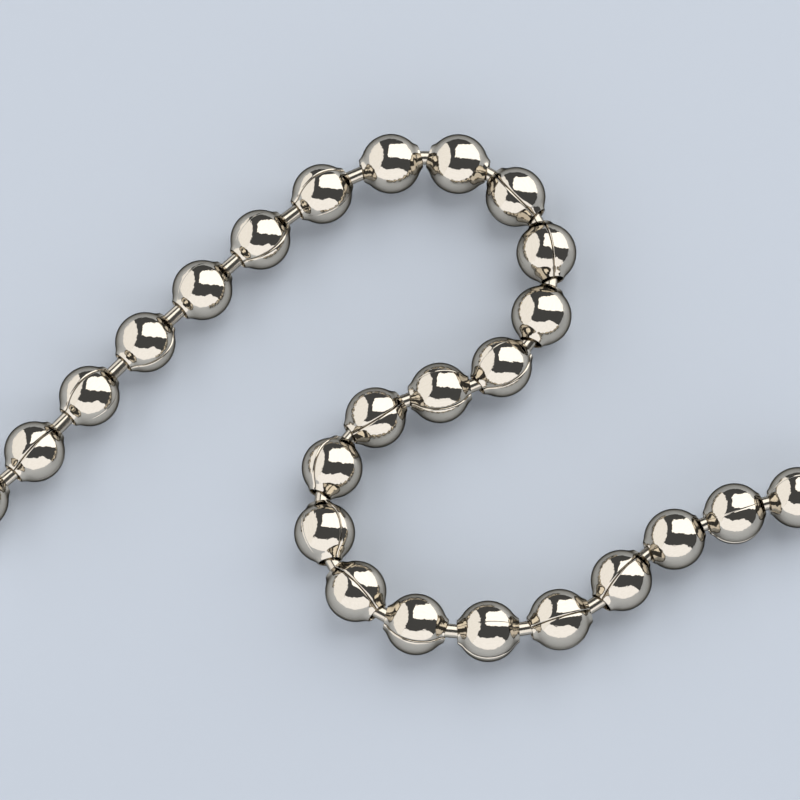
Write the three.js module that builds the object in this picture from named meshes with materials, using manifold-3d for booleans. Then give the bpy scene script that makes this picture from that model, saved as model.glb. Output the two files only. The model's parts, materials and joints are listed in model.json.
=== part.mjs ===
// Metal ball chain of a roller blind: hollow rolled balls, each joined to the next by a dumb-bell pin.
// Millimetres, +Z up. The chain lies on its side in an S, every ball touching z = 0.
import * as THREE from 'three';
import { mergeVertices } from 'three/addons/utils/BufferGeometryUtils.js';
import Module from 'manifold-3d';

const wasm = await Module();
wasm.setup();

// Ball, rolled from a strip of steel sheet
const ballDiameter = 4.5;
const sheetThickness = 0.3;
const holeDiameter = 1.44;
const lipWidth = 0.15; // the strip's own edge, a flat ring around each hole
const lipHeight = 0.08; // how far the wall is drawn out of the round at its lip
const seamGap = 0.12; // where the two edges of the rolled strip meet
const ballSides = 12; // facets round the axis: even, so that a corner points straight down
const outerBands = 6; // even, so that the widest ring is in the middle
const innerBands = 3;

// Pin, a wire with a round head upset on each end
const wireDiameter = 0.96;
const headDiameter = 1.6;
const wireSides = 8;
const headBands = 3;

// Chain
const tautGap = 1.5; // between two balls, with both heads against their holes
const headPlay = 0.03; // slack per pin end at which a head is free to turn in its hole
const swingSpread = 2.1; // how far the swing centre moves out of the head for each mm of slack

// Layout, followed from the left end. In each run every link turns the chain by the same angle in
// degrees, anticlockwise from above, and is pushed together by the same share of its slack: 0 is
// taut, and at 1 it can go no further.
const startHeading = 37;
const runs = [
  { links: 1, turn: 11.5, push: 0.36 },
  { links: 4, turn: -1.5, push: 0.08 },
  { links: 1, turn: -7.5, push: 0.08 },
  { links: 1, turn: -19.5, push: 0.19 },
  { links: 5, turn: -31.5, push: 0.66 },
  { links: 1, turn: -28, push: 0.7 },
  { links: 1, turn: 24.5, push: 0.63 },
  { links: 4, turn: 33, push: 0.63 },
  { links: 2, turn: 15.5, push: 0.54 },
  { links: 1, turn: 32, push: 0.34 },
  { links: 1, turn: -21, push: 0.71 },
  { links: 2, turn: -9, push: 0.91 },
];

// Where each ball's seam lies, as facets counted round its axis from the top towards its left side.
// The balls are free to turn on their pins, so no two neighbours need agree.
const seamFacets = [4, 0, 6, 9, 5, 9, 2, 7, 4, 11, 1, 5, 9, 2, 0, 10, 1, 0, 9, 9, 11, 0, 6, 10, 3];

// Sizes that follow
const ballRadius = ballDiameter / 2;
const cavityRadius = ballRadius - sheetThickness;
const holeRadius = holeDiameter / 2;
const lipRadius = holeRadius + lipWidth;
const headRadius = headDiameter / 2;
const wireRadius = wireDiameter / 2;
const facetAngle = (2 * Math.PI) / ballSides;
const holeFlat = holeRadius * Math.cos(facetAngle / 2); // clear radius between the hole's facets

const alongAxis = (sphereRadius, ringRadius) => Math.sqrt(sphereRadius ** 2 - ringRadius ** 2);

// A head rests on the inner edge of its hole when the chain is pulled taut
const tautPitch = ballDiameter + tautGap;
const seatOffset = alongAxis(cavityRadius, holeRadius) - alongAxis(headRadius, holeFlat);
const headSpacing = tautPitch - 2 * seatOffset;

// Pushed together, a link ends where two heads meet inside a ball or where two balls touch
const fullSlack = Math.min(2 * seatOffset - headDiameter, tautGap);

const plating = new THREE.MeshStandardMaterial({ color: 0xcfcdc9, metalness: 1, roughness: 0.12 });
const drawnWire = new THREE.MeshStandardMaterial({ color: 0xb9b2a6, metalness: 1, roughness: 0.2 });

// Points of a profile that follows a sphere from one angle to another, both measured from its axis
function arcPoints(radius, startAngle, endAngle, bands) {
  const points = [];
  for (let i = 0; i <= bands; i++) {
    const angle = startAngle + ((endAngle - startAngle) * i) / bands;
    points.push(new THREE.Vector2(radius * Math.sin(angle), -radius * Math.cos(angle)));
  }
  return points;
}

// A lathe turned so that its axis runs along X
function turnedAlongX(profile, sides) {
  return new THREE.LatheGeometry(profile, sides).rotateZ(-Math.PI / 2);
}

function toSolid(geometry) {
  const bare = geometry.clone();
  bare.deleteAttribute('normal');
  bare.deleteAttribute('uv');
  const merged = mergeVertices(bare, 1e-5);
  const mesh = new wasm.Mesh({
    numProp: 3,
    vertProperties: new Float32Array(merged.attributes.position.array),
    triVerts: new Uint32Array(merged.index.array),
  });
  return new wasm.Manifold(mesh);
}

function toGeometry(solid) {
  const mesh = solid.getMesh();
  const geometry = new THREE.BufferGeometry();
  geometry.setAttribute('position', new THREE.BufferAttribute(mesh.vertProperties, 3));
  geometry.setIndex(new THREE.BufferAttribute(mesh.triVerts, 1));
  geometry.computeVertexNormals();
  return geometry;
}

// The sheet wall in section: outside from lip to lip, then back along the inside from hole to hole
function ballShell() {
  const lipAngle = Math.asin(lipRadius / ballRadius);
  const holeAngle = Math.asin(holeRadius / cavityRadius);
  const lipFace = alongAxis(ballRadius, lipRadius) + lipHeight;
  const round = arcPoints(ballRadius, lipAngle, Math.PI - lipAngle, outerBands).slice(1, -1);
  const inside = arcPoints(cavityRadius, Math.PI - holeAngle, holeAngle, innerBands);
  const profile = [
    new THREE.Vector2(holeRadius, -lipFace),
    new THREE.Vector2(lipRadius, -lipFace),
    ...round,
    new THREE.Vector2(lipRadius, lipFace),
    new THREE.Vector2(holeRadius, lipFace),
    ...inside,
    new THREE.Vector2(holeRadius, -lipFace),
  ];
  return turnedAlongX(profile, ballSides);
}

// A thin blade through the wall from hole to hole, in the middle of the first facet left of the top
function seamCut() {
  const depth = ballRadius;
  const blade = new THREE.BoxGeometry(2 * ballDiameter, seamGap, depth);
  blade.translate(0, 0, holeRadius / 2 + depth / 2);
  return blade.rotateX(-facetAngle / 2);
}

function makeBall() {
  return toGeometry(toSolid(ballShell()).subtract(toSolid(seamCut())));
}

function makePin() {
  const neckAngle = Math.PI - Math.asin(wireRadius / headRadius);
  const head = arcPoints(headRadius, 0, neckAngle, headBands);
  const lower = head.map((point) => new THREE.Vector2(point.x, point.y - headSpacing / 2));
  const upper = head.map((point) => new THREE.Vector2(point.x, headSpacing / 2 - point.y)).reverse();
  return turnedAlongX([...lower, ...upper], wireSides);
}

const ballGeometry = makeBall();
const pinGeometry = makePin();

const numbered = (name, index) => `${name}_${String(index).padStart(2, '0')}`;

function addBall(parent, offset, index) {
  const ball = new THREE.Mesh(ballGeometry, plating);
  ball.name = numbered('ball', index);
  ball.position.x = offset;
  ball.rotation.x = -seamFacets[index % seamFacets.length] * facetAngle;
  parent.add(ball);
}

// A taut pin turns about its head. With slack it slides as it tilts, about a point nearer the hole.
function swingOffset(slack) {
  const headOffset = seatOffset - slack / 2;
  return headOffset + swingSpread * Math.max(0, slack / 2 - headPlay);
}

// From one ball to the next: a pin swung by half the turn, and a ball swung on it by the other half
function addLink(parent, start, run, index) {
  const slack = run.push * fullSlack;
  const swing = swingOffset(slack);
  const reach = tautPitch - slack - 2 * swing;
  const halfTurn = THREE.MathUtils.degToRad(run.turn / 2);

  const pinFrame = new THREE.Group();
  pinFrame.position.x = start + swing;
  pinFrame.rotation.z = halfTurn;
  parent.add(pinFrame);

  const pin = new THREE.Mesh(pinGeometry, drawnWire);
  pin.name = numbered('pin', index);
  pin.position.x = reach / 2;
  pinFrame.add(pin);

  const ballFrame = new THREE.Group();
  ballFrame.position.x = reach;
  ballFrame.rotation.z = halfTurn;
  pinFrame.add(ballFrame);
  addBall(ballFrame, swing, index + 1);
  return { frame: ballFrame, centre: swing };
}

// Each link is hung on the one before it, so a turn carries everything that follows
function makeChain() {
  const chain = new THREE.Group();
  const first = new THREE.Group();
  first.rotation.z = THREE.MathUtils.degToRad(startHeading);
  chain.add(first);
  addBall(first, 0, 0);

  let last = { frame: first, centre: 0 };
  let index = 0;
  for (const run of runs) {
    for (let i = 0; i < run.links; i++) {
      last = addLink(last.frame, last.centre, run, index);
      index += 1;
    }
  }
  return chain;
}

// The origin is the middle of the chain's outline, on the surface that it lies on
const chain = makeChain();
const middle = new THREE.Box3().setFromObject(chain, true).getCenter(new THREE.Vector3());
chain.position.set(-middle.x, -middle.y, ballRadius);

const rollerBlindChain = new THREE.Group();
rollerBlindChain.add(chain);

export default rollerBlindChain;
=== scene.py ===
# %% [markdown]
# # A metal ball chain, as it works a roller blind
#
# The real object is a control chain: hollow balls, rolled from thin steel strip and plated with
# bright nickel, held together by short pins with a round head on each end. It lies in an S on a
# pale table. Everything the eye sees on it is a reflection, so this lesson spends its effort on
# three things: true shapes, a plating that is not too perfect, and something good to reflect.

# %% Tools and the frame
import json
import math

import bpy
from mathutils import Matrix, Vector

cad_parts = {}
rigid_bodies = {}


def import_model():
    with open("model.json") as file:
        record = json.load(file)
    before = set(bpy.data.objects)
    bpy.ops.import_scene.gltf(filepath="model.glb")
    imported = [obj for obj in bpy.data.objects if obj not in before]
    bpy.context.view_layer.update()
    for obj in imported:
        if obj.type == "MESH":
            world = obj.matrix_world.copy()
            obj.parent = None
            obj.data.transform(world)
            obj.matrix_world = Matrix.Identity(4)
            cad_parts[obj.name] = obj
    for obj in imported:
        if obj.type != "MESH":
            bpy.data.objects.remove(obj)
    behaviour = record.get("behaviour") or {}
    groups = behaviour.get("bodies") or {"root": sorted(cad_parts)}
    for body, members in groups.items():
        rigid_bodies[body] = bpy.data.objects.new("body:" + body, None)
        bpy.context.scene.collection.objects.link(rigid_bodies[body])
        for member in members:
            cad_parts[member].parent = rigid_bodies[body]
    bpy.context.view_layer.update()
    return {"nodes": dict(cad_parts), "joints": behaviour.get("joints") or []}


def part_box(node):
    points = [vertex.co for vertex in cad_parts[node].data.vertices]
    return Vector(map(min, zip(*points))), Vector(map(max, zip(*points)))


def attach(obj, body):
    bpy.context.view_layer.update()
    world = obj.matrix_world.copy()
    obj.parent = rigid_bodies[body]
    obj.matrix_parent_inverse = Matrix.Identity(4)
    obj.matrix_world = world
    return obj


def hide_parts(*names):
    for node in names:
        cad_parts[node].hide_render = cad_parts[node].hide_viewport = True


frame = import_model()
MM = 0.001

# %% [markdown]
# ## Camera
#
# The photograph was taken from well above and in front, through a long lens: the balls at the back
# look as large as those in front. A long lens far away gives that. The chain runs out of the
# picture at both ends, so the frame is a little narrower than the chain.

# %% Camera
VIEW_ELEVATION = math.radians(70)
VIEW_WIDTH = 59.26 * MM
VIEW_DISTANCE = 430 * MM
VIEW_CENTRE = Vector((0.864, -0.455, 2.25)) * MM
SENSOR_WIDTH = 36.0
NEAREST, FURTHEST = 10 * MM, 20.0

towards_camera = Vector((0, -math.cos(VIEW_ELEVATION), math.sin(VIEW_ELEVATION)))
camera_data = bpy.data.cameras.new("camera")
camera_data.sensor_width = SENSOR_WIDTH
camera_data.lens = SENSOR_WIDTH * VIEW_DISTANCE / VIEW_WIDTH
camera_data.clip_start = NEAREST
camera_data.clip_end = FURTHEST
camera = bpy.data.objects.new("camera", camera_data)
camera.location = VIEW_CENTRE + towards_camera * VIEW_DISTANCE
camera.rotation_euler = (math.pi / 2 - VIEW_ELEVATION, 0, 0)
bpy.context.scene.collection.objects.link(camera)
bpy.context.scene.camera = camera
bpy.context.scene.view_settings.view_transform = "Standard"
print("lens", round(camera_data.lens), "mm")

# %% [markdown]
# ## Where each ball and pin lies
#
# The frame knows where every solid is. A ball's middle is the middle of its solid's box. The chain
# bends at hinges, and both hinges of a ball lie on its axis, so they give the way it points. A pin
# lies between its own two hinges.

# %% Names and hinges
hinges = {(joint["parent"], joint["child"]): Vector(joint["pos_m"]) for joint in frame["joints"]}
BALLS = sum(name.startswith("ball_") for name in frame["nodes"])
PINS = BALLS - 1


def numbered(kind, index):
    return f"{kind}_{index:02d}"


def hinge_between(one, other):
    return hinges.get((one, other), hinges.get((other, one)))


def middle_of(node):
    low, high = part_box(node)
    return (low + high) / 2


print(BALLS, "balls and", PINS, "pins")


# %% Place and heading
def heading_of(along):
    return math.atan2(along.y, along.x)


def ball_place(index):
    ball = numbered("ball", index)
    centre = middle_of(ball)
    if index < PINS:
        along = hinge_between(ball, numbered("pin", index)) - centre
    else:
        along = centre - hinge_between(ball, numbered("pin", index - 1))
    return centre, heading_of(along)


def pin_place(index):
    pin = numbered("pin", index)
    start = hinge_between(pin, numbered("ball", index))
    end = hinge_between(pin, numbered("ball", index + 1))
    return middle_of(pin), heading_of(end - start)


print("the first ball points", round(math.degrees(ball_place(0)[1])), "degrees round from +X")


# %% [markdown]
# ## Helpers for materials
#
# Colours are written as they look on a screen. Blender works with linear light, so one function
# turns the one into the other. Another adds a node, sets it up and links it in a single line. A
# noise pattern repeats about once in each unit, so its scale is one over its spacing.

# %% Material helpers
def linear(hex_colour):
    channels = [int(hex_colour[i : i + 2], 16) / 255 for i in (1, 3, 5)]
    light = [c / 12.92 if c <= 0.04045 else ((c + 0.055) / 1.055) ** 2.4 for c in channels]
    return tuple(light) + (1.0,)


def noise_scale(spacing):
    """Scale of a noise whose bumps lie this many millimetres apart."""
    return 1 / (spacing * MM)


def new_material(name):
    material = bpy.data.materials.new(name)
    material.use_nodes = True
    material.node_tree.nodes.clear()
    return material, material.node_tree


def add_node(tree, kind, settings=(), values=(), links=()):
    node = tree.nodes.new(kind)
    for name, value in dict(settings).items():
        setattr(node, name, value)
    for name, value in dict(values).items():
        node.inputs[name].default_value = value
    for name, socket in dict(links).items():
        tree.links.new(socket, node.inputs[name])
    return node


print("#808080 on a screen is", round(linear("#808080")[0], 3), "of white in linear light")

# %% [markdown]
# ## Bright nickel on rolled steel strip
#
# Nickel is a warm, slightly yellow white metal, and bright plating is close to a mirror. But the
# strip under it was rolled and bent: it is a little wavy, which makes the edges of reflections
# ragged. The waves are low bumps about 0.3 mm apart, where the metal is also a touch hazier. Finer
# ones would blur the reflections instead of bending their edges.

# %% Waves of the strip
WAVE_SPACING = 1 / 3.3
WAVE_HEIGHT = 0.011
CLEAR, HAZY = 0.012, 0.05

ball_plating, tree = new_material("bright_nickel_on_rolled_strip")
place = add_node(tree, "ShaderNodeTexCoord")
waves = add_node(
    tree,
    "ShaderNodeTexNoise",
    values={"Scale": noise_scale(WAVE_SPACING), "Detail": 1.5, "Roughness": 0.4},
    links={"Vector": place.outputs["Object"]},
)
wavy = add_node(
    tree,
    "ShaderNodeBump",
    values={"Strength": 1.0, "Distance": WAVE_HEIGHT * MM},
    links={"Height": waves.outputs["Fac"]},
)
haze = add_node(
    tree,
    "ShaderNodeMapRange",
    values={"From Min": 0.35, "From Max": 0.7, "To Min": CLEAR, "To Max": HAZY},
    links={"Value": waves.outputs["Fac"]},
)
print("waves", round(WAVE_SPACING, 2), "mm apart, up to", WAVE_HEIGHT, "mm high")

# %% [markdown]
# Tumbling with other balls leaves hair-fine scratches, here stretched along the axis. They are
# drawn coarser than life, or they would not show. The tint at the edge is what the metal turns
# where it is seen at a grazing angle. Here it is far darker than clean nickel's. It is painted
# shade, a painted dark reflection that gives each ball its dark outline.

# %% Scratches and the finished plating
NICKEL = "#D2CABC"
# painted shade: this dark edge tint paints a dark reflection round the outline of every ball and
# pin
NICKEL_SCRATCHED = "#C9C0B1"
PAINTED_DARK_EDGE_TINT = "#2C3138"
SCRATCH_SPACING = 1 / 9
SCRATCH_STRETCH = 0.12
SCRATCH_HEIGHT = 0.0016

across = add_node(
    tree,
    "ShaderNodeMapping",
    values={"Scale": (SCRATCH_STRETCH, 1.0, 1.0)},
    links={"Vector": place.outputs["Object"]},
)
scratches = add_node(
    tree,
    "ShaderNodeTexNoise",
    values={"Scale": noise_scale(SCRATCH_SPACING), "Detail": 3.0, "Roughness": 0.6},
    links={"Vector": across.outputs["Vector"]},
)
scratched = add_node(
    tree,
    "ShaderNodeBump",
    values={"Strength": 1.0, "Distance": SCRATCH_HEIGHT * MM},
    links={"Height": scratches.outputs["Fac"], "Normal": wavy.outputs["Normal"]},
)
tint = add_node(
    tree,
    "ShaderNodeMix",
    settings={"data_type": "RGBA"},
    values={"A": linear(NICKEL), "B": linear(NICKEL_SCRATCHED)},
    links={"Factor": scratches.outputs["Fac"]},
)
surface = add_node(
    tree,
    "ShaderNodeBsdfPrincipled",
    values={"Metallic": 1.0, "Specular Tint": linear(PAINTED_DARK_EDGE_TINT)},
    links={
        "Base Color": tint.outputs["Result"],
        "Roughness": haze.outputs["Result"],
        "Normal": scratched.outputs["Normal"],
    },
)
add_node(tree, "ShaderNodeOutputMaterial", links={"Surface": surface.outputs["BSDF"]})
print(ball_plating.name, "has", len(tree.nodes), "nodes")

# %% [markdown]
# ## The inside of a ball
#
# Plating hardly reaches into a ball that is already rolled shut. Inside it is thin, dull and
# brownish, and that dark shows in the holes and in the gap of the seam. Its blotches are under a
# millimetre across.

# %% Inside of the balls
THIN_NICKEL_DARK, THIN_NICKEL_LIGHT = "#5E564B", "#8A7E6C"
BLOTCH_SPACING = 1 / 1.4

ball_inside, tree = new_material("thin_nickel_inside_the_ball")
place = add_node(tree, "ShaderNodeTexCoord")
blotches = add_node(
    tree,
    "ShaderNodeTexNoise",
    values={"Scale": noise_scale(BLOTCH_SPACING), "Detail": 4.0},
    links={"Vector": place.outputs["Object"]},
)
tint = add_node(
    tree,
    "ShaderNodeMix",
    settings={"data_type": "RGBA"},
    values={"A": linear(THIN_NICKEL_DARK), "B": linear(THIN_NICKEL_LIGHT)},
    links={"Factor": blotches.outputs["Fac"]},
)
surface = add_node(
    tree,
    "ShaderNodeBsdfPrincipled",
    values={"Metallic": 1.0, "Roughness": 0.45},
    links={"Base Color": tint.outputs["Result"]},
)
add_node(tree, "ShaderNodeOutputMaterial", links={"Surface": surface.outputs["BSDF"]})
print(ball_inside.name, "has blotches", round(BLOTCH_SPACING, 1), "mm apart")

# %% [markdown]
# ## Nickel on drawn wire
#
# The pins are cut from drawn wire. Drawing leaves fine lines along the wire, which spread a
# reflection across them a little, so a pin looks softer and greyer than a ball. The real lines are
# only a few hundredths of a millimetre apart, and these are a little coarser.

# %% Pin plating
NICKEL_DULL = "#C2B7A5"
LINE_SPACING = 1 / 14
LINE_STRETCH = 0.04
LINE_HEIGHT = 0.001

pin_plating, tree = new_material("nickel_on_drawn_wire")
place = add_node(tree, "ShaderNodeTexCoord")
stretched = add_node(
    tree,
    "ShaderNodeMapping",
    values={"Scale": (LINE_STRETCH, 1.0, 1.0)},
    links={"Vector": place.outputs["Object"]},
)
lines = add_node(
    tree,
    "ShaderNodeTexNoise",
    values={"Scale": noise_scale(LINE_SPACING), "Detail": 2.0},
    links={"Vector": stretched.outputs["Vector"]},
)
drawn = add_node(
    tree,
    "ShaderNodeBump",
    values={"Strength": 0.6, "Distance": LINE_HEIGHT * MM},
    links={"Height": lines.outputs["Fac"]},
)
haze = add_node(
    tree,
    "ShaderNodeMapRange",
    values={"To Min": 0.10, "To Max": 0.22},
    links={"Value": lines.outputs["Fac"]},
)
tint = add_node(
    tree,
    "ShaderNodeMix",
    settings={"data_type": "RGBA"},
    values={"A": linear(NICKEL), "B": linear(NICKEL_DULL)},
    links={"Factor": lines.outputs["Fac"]},
)
surface = add_node(
    tree,
    "ShaderNodeBsdfPrincipled",
    # the same dark edge tint paints a dark reflection, as painted shade, round the outline of each
    # pin
    values={"Metallic": 1.0, "Specular Tint": linear(PAINTED_DARK_EDGE_TINT)},
    links={
        "Base Color": tint.outputs["Result"],
        "Roughness": haze.outputs["Result"],
        "Normal": drawn.outputs["Normal"],
    },
)
add_node(tree, "ShaderNodeOutputMaterial", links={"Surface": surface.outputs["BSDF"]})
print(pin_plating.name, "has lines", round(LINE_SPACING, 2), "mm apart")

# %% [markdown]
# ## The wall of a ball in section
#
# A ball starts as a flat strip that is rolled round until its two long edges meet. A plain sphere
# would be quicker, but it has no seam, no hole and no lip. So the wall is drawn in section first:
# one line for the outside and one for the inside, each running from the right lip to the left lip.
# Sizes are in millimetres, and a point is given as (along the axis, away from it).

# %% Sizes of the ball
BALL_RADIUS = 2.25
SHEET = 0.30
ROUND_STEPS = 40


def polar(radius, degrees, centre=(0, 0)):
    """The point at this distance from a centre, its angle counted from the ball's axis."""
    angle = math.radians(degrees)
    return centre[0] + radius * math.cos(angle), centre[1] + radius * math.sin(angle)


def arc(centre, radius, start, end, steps):
    return [polar(radius, start + (end - start) * i / steps, centre) for i in range(steps + 1)]


print("a ball", 2 * BALL_RADIUS, "mm across, of sheet", SHEET, "mm thick")

# %% [markdown]
# The lip is the strip's own edge, drawn out thin, so the round runs into it like the end of a
# lemon. Each lip is given as how far its face is from the ball's middle, and its radius. The last
# three balls are pushed close together, and lips that meet there are a little shorter. A shallow
# hollow arc, the flare, touches both the rounding of the rim and the sphere. Rounded edges matter,
# because each catches a line of light.

# %% Outside at a lip
LONG_LIP = (2.27, 0.905)
SHORT_LIP = (2.155, 0.93)
LIP_ROUND = 0.045
FLARE_RADIUS = 1.4
RIM_STEPS, FLARE_STEPS = 4, 4


def outside_at_lip(lip):
    """From the middle of the rim to where the flare meets the round, and the angle there."""
    rim_centre = Vector((lip[0] - LIP_ROUND, lip[1] - LIP_ROUND))
    to_round, to_rim = BALL_RADIUS + FLARE_RADIUS, LIP_ROUND + FLARE_RADIUS
    squares = to_round**2 + rim_centre.length_squared - to_rim**2
    cosine = squares / (2 * to_round * rim_centre.length)
    meets_round = math.degrees(math.atan2(rim_centre.y, rim_centre.x) + math.acos(cosine))
    flare_centre = polar(to_round, meets_round)
    to_flare = Vector(flare_centre) - rim_centre
    leaves_rim = math.degrees(math.atan2(to_flare.y, to_flare.x))
    rim = arc(rim_centre, LIP_ROUND, 0, leaves_rim, RIM_STEPS)[:-1]
    flare = arc(flare_centre, FLARE_RADIUS, 180 + leaves_rim, 180 + meets_round, FLARE_STEPS)
    return rim + flare, meets_round


for lip in (LONG_LIP, SHORT_LIP):
    print("a lip at", lip[0], "mm flares from", round(outside_at_lip(lip)[1]), "degrees")

# %% [markdown]
# The hole opens towards its mouth, which lets a pin lean. Its inner corner, where the head of the
# pin rests when the chain is pulled taut, is rounded as well.

# %% Inside at a lip
HOLE_RADIUS = 0.72
HOLE_MOUTH = 0.81
HOLE_ROUND = 0.05
CORNER_STEPS = 3


def inside_at_lip(lip):
    """From the middle of the rim through the hole to the hollow, and the angle there."""
    reach, away = BALL_RADIUS - SHEET + HOLE_ROUND, HOLE_RADIUS + HOLE_ROUND
    corner_centre = (math.sqrt(reach**2 - away**2), away)
    meets_hollow = math.degrees(math.atan2(away, corner_centre[0]))
    rim = arc((lip[0] - LIP_ROUND, HOLE_MOUTH + LIP_ROUND), LIP_ROUND, 0, -90, RIM_STEPS)
    corner = arc(corner_centre, HOLE_ROUND, 270, 180 + meets_hollow, CORNER_STEPS)
    return rim + corner, meets_hollow


print("the hole opens from", 2 * HOLE_RADIUS, "to", 2 * HOLE_MOUTH, "mm")


# %% Whole section
def mirrored(points):
    return [(-along, away) for along, away in reversed(points)]


def from_lip_to_lip(radius, end, angle):
    middle = arc((0, 0), radius, angle, 180 - angle, ROUND_STEPS)[1:-1]
    return end + middle + mirrored(end)


def wall_section(lip):
    outside = from_lip_to_lip(BALL_RADIUS, *outside_at_lip(lip))
    inside = from_lip_to_lip(BALL_RADIUS - SHEET, *inside_at_lip(lip))
    return outside, inside


SECTION_POINTS = len(wall_section(LONG_LIP)[0])
print(SECTION_POINTS, "points on each side of the wall")

# %% [markdown]
# ## Rolling the section round
#
# The section is carried once round the axis, but stops just short of a full turn on both sides of
# the seam. Close to the seam its copies are set by their distance from it in millimetres, so that
# the gap is as wide at the holes as at the middle. There both edges dip inwards a little, as strip
# does when it is forced shut. About 73 degrees away from the seam runs a shallow crease, where the
# forming tool ended.

# %% Copies of the section
EDGE_STEPS = (0.0, 0.005, 0.015, 0.03, 0.05, 0.075, 0.1, 0.13, 0.16, 0.2, 0.26, 0.35)
DIP_WIDTH = 0.2
FAR_STEPS = 72
CREASE_STEPS = (-3.2, -2.4, -1.8, -1.3, -0.9, -0.5, 0, 0.5, 0.9, 1.3, 1.8, 2.4, 3.2)
CREASE_CLEAR = 4.5
CREASE_WIDTH = 1.1
CREASE_DEPTH = 0.02


def hollow_at(distance, width, depth):
    return depth * math.exp(-((distance / width) ** 2))


def copies_round(dip, crease):
    """(side, place, how far it dips) for each copy of the section, in order round the axis.

    The place is millimetres from the seam's edge on side 1 or -1, and degrees round for side 0.
    """
    near = [(d, hollow_at(d, DIP_WIDTH, dip)) for d in EDGE_STEPS]
    turns = [360 * i / FAR_STEPS for i in range(1, FAR_STEPS)]
    far = [(turn, 0.0) for turn in turns if abs(turn - crease) > CREASE_CLEAR]
    far += [(crease + d, hollow_at(d, CREASE_WIDTH, CREASE_DEPTH)) for d in CREASE_STEPS]
    one_side = [(1, d, sunk) for d, sunk in near]
    other_side = [(-1, d, sunk) for d, sunk in reversed(near)]
    return one_side + [(0, turn, sunk) for turn, sunk in sorted(far)] + other_side


def turn_of(side, place, away, gap):
    """Angle round the axis of a point of a copy, which lies this far away from the axis."""
    if side == 0:
        edge = (EDGE_STEPS[-1] + gap / 2) / away
        return edge + (2 * math.pi - 2 * edge) * place / 360
    edge = (place + gap / 2) / away
    return edge if side > 0 else 2 * math.pi - edge


print(len(copies_round(dip=0.02, crease=73)), "copies of the section round a ball")

# %% [markdown]
# The wall thins into a rounded edge on each side of the seam, more on the outside than on the
# inside. Each point is drawn back along the wall's own normal for that. Balls also come off the
# machine very slightly oval.

# %% Points of a ball
OUTER_EDGE_ROUND = 0.15
INNER_EDGE_ROUND = 0.08
OVAL = 0.002


def thinning(distance, edge_round):
    """How far a face of the wall draws back at this distance from the seam."""
    if distance >= edge_round:
        return 0.0
    return edge_round - math.sqrt(edge_round**2 - (edge_round - distance) ** 2)


def outward(points, i):
    """Unit normal of a line of points at one of them."""
    a, b = points[max(i - 1, 0)], points[min(i + 1, len(points) - 1)]
    along, away = b[0] - a[0], b[1] - a[1]
    length = math.hypot(along, away)
    return away / length, -along / length


def ball_points(section, copies, gap, oval_turn):
    skins = tuple(zip(section, (1, -1), (OUTER_EDGE_ROUND, INNER_EDGE_ROUND)))
    points = []
    for side, place, sunk in copies:
        for line, sign, edge_round in skins:
            thin = thinning(place, edge_round) if side else 0.0
            for i, (along, away) in enumerate(line):
                normal = outward(line, i)
                turn = turn_of(side, place, away - sign * normal[1] * thin, gap)
                squeeze = 1 - sunk / math.hypot(along, away)
                squeeze += OVAL * math.cos(2 * (turn - oval_turn)) * (away / BALL_RADIUS) ** 2
                along_now = along - sign * normal[0] * thin
                away_now = (away - sign * normal[1] * thin) * squeeze
                spot = along_now, away_now * math.sin(turn), away_now * math.cos(turn)
                points.append(tuple(c * MM for c in spot))
    return points


print("the wall is rounded over", OUTER_EDGE_ROUND, "mm at the seam")

# %% [markdown]
# The points are joined into one closed skin: the outside and the inside, the rims at both holes,
# and the two edges of the seam. Faces of the inside beyond the mouth of the hole get the dull
# finish.

# %% Faces of a ball
MOUTH_POINTS = RIM_STEPS + 1


def ball_faces(copy_count):
    """Faces in the order of the points, and for each the number of its material."""
    rows, ring = SECTION_POINTS, 2 * SECTION_POINTS
    faces, finishes = [], []
    for here in range(0, (copy_count - 1) * ring, ring):
        there = here + ring
        for i in range(rows - 1):
            j = rows + i
            faces.append((here + i, here + i + 1, there + i + 1, there + i))
            faces.append((here + j + 1, here + j, there + j, there + j + 1))
            finishes += [0, int(MOUTH_POINTS <= i <= rows - 2 - MOUTH_POINTS)]
        last = rows - 1
        faces.append((here, there, there + rows, here + rows))
        faces.append((here + rows + last, there + rows + last, there + last, here + last))
        finishes += [0, 0]
    end = (copy_count - 1) * ring
    for i in range(rows - 1):
        faces.append((i, rows + i, rows + i + 1, i + 1))
    for i in range(end, end + rows - 1):
        faces.append((i + 1, rows + i + 1, rows + i, i))
    return faces, finishes + [0] * (2 * (rows - 1))


def rolled_ball(name, lip, gap, dip, crease, oval_turn):
    copies = copies_round(dip, crease)
    faces, finishes = ball_faces(len(copies))
    mesh = bpy.data.meshes.new(name)
    mesh.from_pydata(ball_points(wall_section(lip), copies, gap, oval_turn), [], faces)
    mesh.validate()
    mesh.polygons.foreach_set("material_index", finishes)
    mesh.polygons.foreach_set("use_smooth", [True] * len(mesh.polygons))
    mesh.materials.append(ball_plating)
    mesh.materials.append(ball_inside)
    mesh.update()
    return mesh


print("finishes on a ball:", ball_plating.name, "and", ball_inside.name)

# %% [markdown]
# ## Laying the balls
#
# The balls turn freely on their pins, so every seam points its own way. The angles are read from
# the photograph, in degrees round the axis from the top towards the ball's left side. Each seam is
# also a little wider or tighter than the next.

# %% Balls
SEAM_ANGLES = (
    135, -6, 17, -63, 110, -48, 20, 180, 170, -14, 9, 180, 53,
    52, 21, -30, 33, 0, -51, -78, -12, 2, 180, -92, 105,
)
SEAM_GAPS = (0.012, 0.02, 0.016, 0.026, 0.014)
SEAM_DIPS = (0.015, 0.03, 0.02)
CREASE_TURN = 73
CREASE_ON_THE_LEFT = (5, 8, 19, 21, 23)
SHORT_LIPPED = (22, 23, 24)


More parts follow.
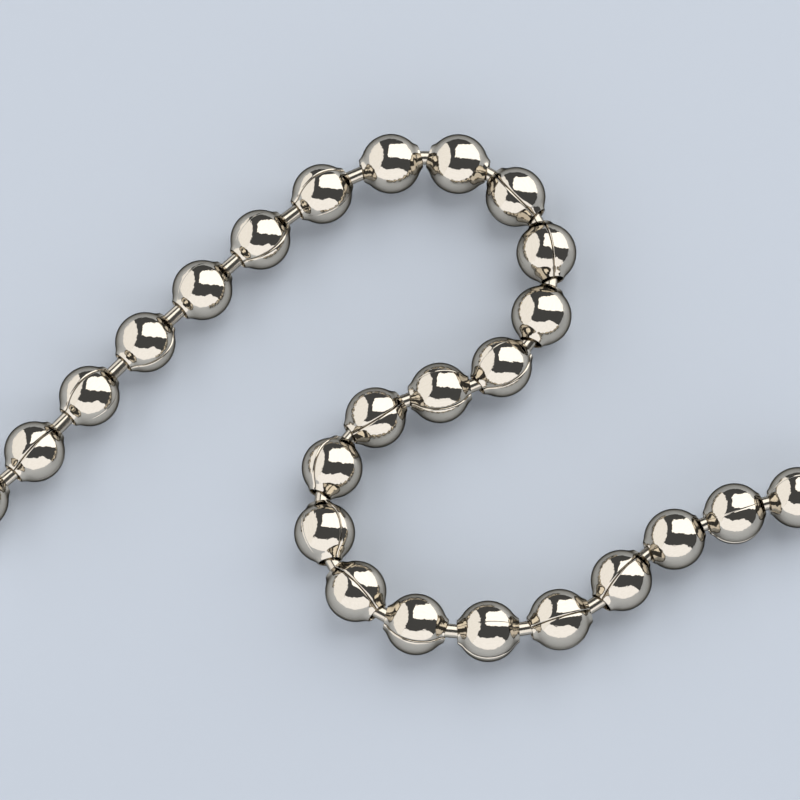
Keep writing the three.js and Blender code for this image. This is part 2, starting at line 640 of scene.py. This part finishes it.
def lay_ball(index):
    name = numbered("ball", index)
    mesh = rolled_ball(
        "rolled_" + name,
        lip=SHORT_LIP if index in SHORT_LIPPED else LONG_LIP,
        gap=SEAM_GAPS[index % len(SEAM_GAPS)],
        dip=SEAM_DIPS[index % len(SEAM_DIPS)],
        crease=CREASE_TURN if index in CREASE_ON_THE_LEFT else 360 - CREASE_TURN,
        oval_turn=index,
    )
    mesh.transform(Matrix.Rotation(-math.radians(SEAM_ANGLES[index]), 4, "X"))
    ball = bpy.data.objects.new("rolled_" + name, mesh)
    bpy.context.scene.collection.objects.link(ball)
    centre, heading = ball_place(index)
    ball.matrix_world = Matrix.Translation(centre) @ Matrix.Rotation(heading, 4, "Z")
    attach(ball, name)
    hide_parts(name)
    return ball


balls = [lay_ball(index) for index in range(BALLS)]
print(len(balls), "balls, each of", len(balls[0].data.polygons), "faces")

# %% [markdown]
# ## Pins
#
# A pin is a length of wire with both ends upset into heads, trapped in two neighbouring balls. Its
# outline is turned round the axis like a piece on a lathe. Only the shank shows, but the heads are
# there too: they can be seen through a hole, and they hold the chain together. The shank is a hair
# thinner in the middle, where upsetting the heads has not thickened it.

# %% Outline of a pin
WIRE_RADIUS = 0.52
HEAD_RADIUS = 0.80
HEAD_SPACING = 3.166
NECK_FILLET = 0.12
WAIST = 0.012
SHANK_STOPS = (0.66, 0.33, 0)
HEAD_STEPS, FILLET_STEPS = 14, 4


def pin_outline():
    head_centre = HEAD_SPACING / 2
    reach, away = HEAD_RADIUS + NECK_FILLET, WIRE_RADIUS + NECK_FILLET
    before = math.sqrt(reach**2 - away**2)
    meets_head = math.degrees(math.atan2(away, before))
    neck_end = head_centre - before
    head = arc((head_centre, 0), HEAD_RADIUS, 0, 180 - meets_head, HEAD_STEPS)[1:]
    neck = arc((neck_end, away), NECK_FILLET, 360 - meets_head, 270, FILLET_STEPS)[1:]
    shank = [(neck_end * stop, WIRE_RADIUS - WAIST * (1 - stop**2)) for stop in SHANK_STOPS]
    half = head + neck + shank
    return half + mirrored(half[:-1])


print("a pin is", round(HEAD_SPACING + 2 * HEAD_RADIUS, 2), "mm long")

# %% Turned pin
PIN_SIDES = 40


def pin_points(outline, tip):
    points = [(tip * MM, 0, 0)]
    for along, away in outline:
        for side in range(PIN_SIDES):
            turn = 2 * math.pi * side / PIN_SIDES
            points.append((along * MM, away * math.cos(turn) * MM, away * math.sin(turn) * MM))
    return points + [(-tip * MM, 0, 0)]


def pin_faces(rows):
    faces = []
    last = 1 + (rows - 1) * PIN_SIDES
    for side in range(PIN_SIDES):
        following = (side + 1) % PIN_SIDES
        faces.append((0, 1 + side, 1 + following))
        for here in range(1, last, PIN_SIDES):
            there = here + PIN_SIDES
            faces.append((here + side, there + side, there + following, here + following))
        faces.append((last + side, last + PIN_SIDES, last + following))
    return faces


outline = pin_outline()
pin_mesh = bpy.data.meshes.new("turned_pin")
tip = HEAD_SPACING / 2 + HEAD_RADIUS
pin_mesh.from_pydata(pin_points(outline, tip), [], pin_faces(len(outline)))
pin_mesh.validate()
pin_mesh.polygons.foreach_set("use_smooth", [True] * len(pin_mesh.polygons))
pin_mesh.materials.append(pin_plating)
pin_mesh.update()
print("the pin has", len(pin_mesh.polygons), "faces")

# %% [markdown]
# All pins share one mesh. Each is rolled on by a different amount, so that their drawn lines do
# not repeat.

# %% Pins in place
PIN_ROLL_STEP = math.radians(47)


def lay_pin(index):
    name = numbered("pin", index)
    pin = bpy.data.objects.new("turned_" + name, pin_mesh)
    bpy.context.scene.collection.objects.link(pin)
    centre, heading = pin_place(index)
    pin.matrix_world = (
        Matrix.Translation(centre)
        @ Matrix.Rotation(heading, 4, "Z")
        @ Matrix.Rotation(index * PIN_ROLL_STEP, 4, "X")
    )
    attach(pin, name)
    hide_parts(name)
    return pin


pins = [lay_pin(index) for index in range(PINS)]
print(len(pins), "pins laid")

# %% [markdown]
# ## Floor
#
# A plain pale table, so large that its edge lies far away. It takes the chain's soft shadow. It is
# matt: a glossy one would mirror the light cards and wash out the rims of the balls.

# %% Floor
HALF_FLOOR = 3.0

pale_table, tree = new_material("pale_table")
surface = add_node(
    tree,
    "ShaderNodeBsdfPrincipled",
    values={"Base Color": linear("#CCD3DC"), "Roughness": 0.5, "Specular IOR Level": 0.3},
)
add_node(tree, "ShaderNodeOutputMaterial", links={"Surface": surface.outputs["BSDF"]})

floor_mesh = bpy.data.meshes.new("floor")
floor_signs = ((-1, -1), (1, -1), (1, 1), (-1, 1))
floor_corners = [(x * HALF_FLOOR, y * HALF_FLOOR, 0) for x, y in floor_signs]
floor_mesh.from_pydata(floor_corners, [], [(0, 1, 2, 3)])
floor_mesh.materials.append(pale_table)
floor = bpy.data.objects.new("floor", floor_mesh)
bpy.context.scene.collection.objects.link(floor)
print("a table", 2 * HALF_FLOOR, "m across")

# %% [markdown]
# ## A room of soft light
#
# Each ball is a small mirror that shows nearly the whole room. In the photograph every ball shows
# the same things: a cream window on the left, a white one behind and overhead on the right, a low
# cream one in front, and dark between them, where the camera looks in. So the room is built of
# flat glowing cards. Each card is given by the directions to its corners, as a turn round the
# chain from +X and a height above the table. They are nearly all the light there is.

# %% Making a light card
CARD_DISTANCE = 1.2


def glowing(name, hex_colour, strength):
    material, tree = new_material(name)
    glow = add_node(
        tree,
        "ShaderNodeEmission",
        values={"Color": linear(hex_colour), "Strength": strength},
    )
    add_node(tree, "ShaderNodeOutputMaterial", links={"Surface": glow.outputs["Emission"]})
    return material


def direction(turn, height):
    turn, height = math.radians(turn), math.radians(height)
    level = math.cos(height)
    return Vector((level * math.cos(turn), level * math.sin(turn), math.sin(height)))


def light_card(name, facing, outline, material):
    """A flat card square to one direction, with each corner in a direction of its own."""
    square_to = direction(*facing)
    corners = []
    for turn_height in outline:
        corner = direction(*turn_height)
        corners.append(corner * (CARD_DISTANCE / corner.dot(square_to)))
    mesh = bpy.data.meshes.new(name)
    mesh.from_pydata(corners, [], [tuple(range(len(corners)))])
    mesh.materials.append(material)
    card = bpy.data.objects.new(name, mesh)
    bpy.context.scene.collection.objects.link(card)
    return card


print("cards stand", CARD_DISTANCE, "m away")

# %% The three cards
LEFT_WINDOW = (
    (117, 0), (117.5, 9), (120, 26.5), (127, 45), (156.6, 60.5),
    (192, 58), (213, 38.5), (218, 20), (218, 0),
)
RIGHT_WINDOW = (
    (12, 0), (57.8, 0), (64.8, 19), (78, 27.8), (89, 30), (93.5, 33.6),
    (100.6, 45), (110.3, 62.6), (147, 77), (101, 86), (9, 68.7), (5, 50), (7, 30),
)
FRONT_WINDOW = (
    (218, 0), (218, 20), (214, 37.5), (233, 42.6), (248, 45), (269, 47),
    (295.4, 45.6), (314.5, 40), (323.3, 24.4), (327.8, 10), (329, 0),
)
cards = [
    light_card("left_window", (165, 25), LEFT_WINDOW, glowing("warm_daylight", "#FBFCFF", 1.40)),
    light_card("right_window", (50, 42), RIGHT_WINDOW, glowing("white_daylight", "#FDFEFF", 2.0)),
    light_card("front_window", (275, 20), FRONT_WINDOW, glowing("cream_wall", "#F7F9FF", 1.55)),
]
print(len(cards), "light cards")

# %% [markdown]
# The rest of the room is dim and grey. It is the dark band across the balls.

# %% Dim room
ROOM_COLOUR = "#C9CED6"
ROOM_STRENGTH = 0.15

world = bpy.data.worlds.new("dim_room")
world.use_nodes = True
world.node_tree.nodes["Background"].inputs["Color"].default_value = linear(ROOM_COLOUR)
world.node_tree.nodes["Background"].inputs["Strength"].default_value = ROOM_STRENGTH
bpy.context.scene.world = world
print("the room glows at", ROOM_STRENGTH)
